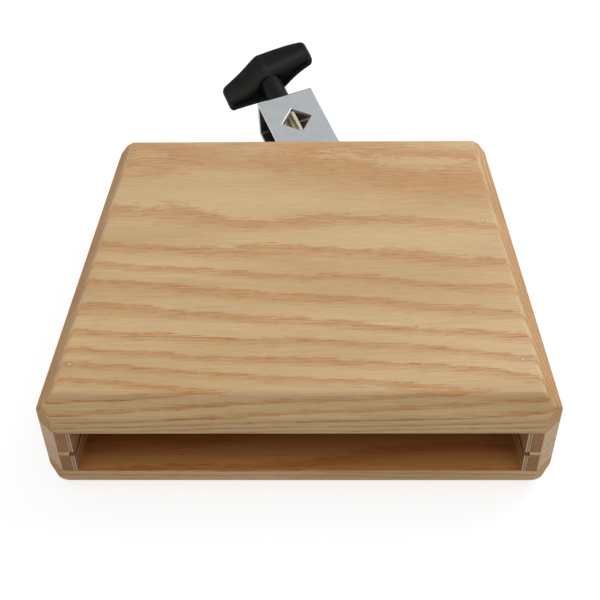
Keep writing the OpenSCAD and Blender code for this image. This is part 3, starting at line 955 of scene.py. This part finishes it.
# %% [markdown]
# ## The knob's hub
#
# A round hub stands in a groove under the wings and holds the screw. Both are turned forms: a
# boolean modifier cuts the groove, and the hub is added. The groove lies a little towards the near
# face, so that the far wall stays whole. A remesh modifier then melts everything into one skin,
# and smoothing gives it the soft inner corners of a mould. Bevels would be crisper, but where the
# wings, the groove and the hub meet they would break down.

# %% Knob's hub and skin
HUB_R, HUB_TOP = 5.6, 23
GROOVE_R, GROOVE_OFF, GROOVE_TOP = 7.0, 1.3, 15.0
BORE_R, BORE_END = 4.05, 18.05
VOXEL, RELAXING = 0.34 * MM, 9


def as_modified(piece):
    """The mesh that a piece's modifiers make of it. They are taken off afterwards."""
    bpy.context.view_layer.update()
    shown = piece.evaluated_get(bpy.context.evaluated_depsgraph_get())
    made = bpy.data.meshes.new_from_object(shown)
    piece.modifiers.clear()
    return made


groove = turned("groove", [(GROOVE_R, -1, GROOVE_OFF), (GROOVE_R, GROOVE_TOP - 1.6, GROOVE_OFF),
                           (GROOVE_R - 0.5, GROOVE_TOP - 0.5, GROOVE_OFF),
                           (GROOVE_R - 1.6, GROOVE_TOP, GROOVE_OFF),
                           (BORE_R, GROOVE_TOP + 0.1), (BORE_R, BORE_END)])
hub = turned("hub", [(0.05, BORE_END), (BORE_R, BORE_END), (BORE_R, 0), (HUB_R - 0.5, 0),
                     (HUB_R, 0.5), (HUB_R, HUB_TOP - 2), (HUB_R - 2, HUB_TOP)])
carve = wings.modifiers.new("carve", "BOOLEAN")
carve.object = groove
carve.operation = "DIFFERENCE"
carve.solver = "EXACT"
fill_mesh(wings.data, [as_modified(wings), hub.data])
melt = wings.modifiers.new("melt", "REMESH")
melt.mode = "VOXEL"
melt.voxel_size = VOXEL
relax = wings.modifiers.new("relax", "SMOOTH")
relax.factor = 0.5
relax.iterations = RELAXING
wings.data = as_modified(wings)
for tool in (groove, hub):
    bpy.data.objects.remove(tool)
on_the_screw = Matrix.Translation((0, KNOB_AT * MM, 0)) @ Matrix.Rotation(-KNOB_TURN, 4, "Y")
wings.matrix_world = clamp_frame @ on_the_screw
hand_over(wings, knob_black, "wing_screw", "wing_knob")
print("knob faces:", len(wings.data.polygons))

# %% [markdown]
# ## Floor
#
# The block stands on plain white. The floor is a large plane. The camera, and every surface that
# mirrors, sees it with enough glow of its own to read as white while the shadow under the block
# stays. For the light that it throws back it is an ordinary pale surface. A brighter lamp would
# make the floor white too, but it would wash out the wood.

# %% Floor
FLOOR_HALF = 3.0
FLOOR_GREY, SHADOW_GREY, FLOOR_GLOW = 0.80, 0.24, 0.84


def seen_white(tree, plain, bright):
    """A mix that shows bright to the camera, to mirrors and to glass, and plain to other rays."""
    rays = put(tree, "LightPath").outputs
    seen = calc(tree, "MAXIMUM", rays["Is Camera Ray"], rays["Is Glossy Ray"])
    seen = calc(tree, "MAXIMUM", seen, rays["Is Transmission Ray"])
    return put(tree, "MixShader", {0: seen, 1: plain, 2: bright}).outputs[0]


floor_finish, tree, shader = new_finish("white_floor")
shader.inputs["Base Color"].default_value = (FLOOR_GREY, FLOOR_GREY, FLOOR_GREY, 1)
shader.inputs["Roughness"].default_value = 0.9
shader.inputs["Specular IOR Level"].default_value = 0.0
shadow_colour = (SHADOW_GREY, SHADOW_GREY, SHADOW_GREY, 1)
shadow_keeper = put(tree, "BsdfDiffuse", {"Color": shadow_colour}).outputs[0]
glow = put(tree, "Emission", {"Color": (1, 1, 1, 1), "Strength": FLOOR_GLOW}).outputs[0]
lit = put(tree, "AddShader", {0: shadow_keeper, 1: glow}).outputs[0]
tree.links.new(seen_white(tree, shader.outputs[0], lit), tree.nodes["Material Output"].inputs[0])

floor_mesh = bpy.data.meshes.new("floor")
corners = [(x * FLOOR_HALF, y * FLOOR_HALF, 0) for x, y in ((-1, -1), (1, -1), (1, 1), (-1, 1))]
floor_mesh.from_pydata(corners, [], [(0, 1, 2, 3)])
floor_mesh.materials.append(floor_finish)
floor = bpy.data.objects.new("floor", floor_mesh)
bpy.context.scene.collection.objects.link(floor)
print("floor:", 2 * FLOOR_HALF, "m square")

# %% [markdown]
# ## Background and light
#
# One large soft lamp above, behind and to the right gives the top its light and the bevels their
# contrast. The world gives the rest: more from above than from the horizon, and a little more from
# the right than from the left. The camera, and what mirrors, sees plain white instead of it.

# %% World and lamp
SKY_BASE, SKY_ABOVE, SKY_RIGHT = 0.18, 0.72, 0.06
KEY_PLACE, KEY_TARGET = Vector((0.58, 0.48, 0.80)), Vector((0, 0, 0.02))
KEY_SIZE, KEY_WATTS = 0.7, 6.2

world = bpy.data.worlds.new("studio")
bpy.context.scene.world = world
world.use_nodes = True
tree = world.node_tree
direction = put(tree, "SeparateXYZ", {0: put(tree, "TexCoord").outputs["Generated"]}).outputs
level = calc(tree, "MULTIPLY_ADD", calc(tree, "MAXIMUM", direction[2], 0.0), SKY_ABOVE, SKY_BASE)
level = calc(tree, "MULTIPLY_ADD", direction[0], SKY_RIGHT, level)
ambient = put(tree, "Background", {"Color": (1, 1, 1, 1), "Strength": level}).outputs[0]
white = put(tree, "Background", {"Color": (1, 1, 1, 1), "Strength": 1.0}).outputs[0]
tree.links.new(seen_white(tree, ambient, white), tree.nodes["World Output"].inputs[0])

key = bpy.data.lights.new("key_lamp", "AREA")
key.size = KEY_SIZE
key.energy = KEY_WATTS
holder = bpy.data.objects.new("key_lamp", key)
holder.location = KEY_PLACE
holder.rotation_euler = (KEY_TARGET - KEY_PLACE).to_track_quat("-Z", "Y").to_euler()
bpy.context.scene.collection.objects.link(holder)
bpy.context.scene.view_settings.view_transform = "Standard"
print("key lamp:", KEY_WATTS, "W,", round((KEY_TARGET - KEY_PLACE).length, 2), "m away")
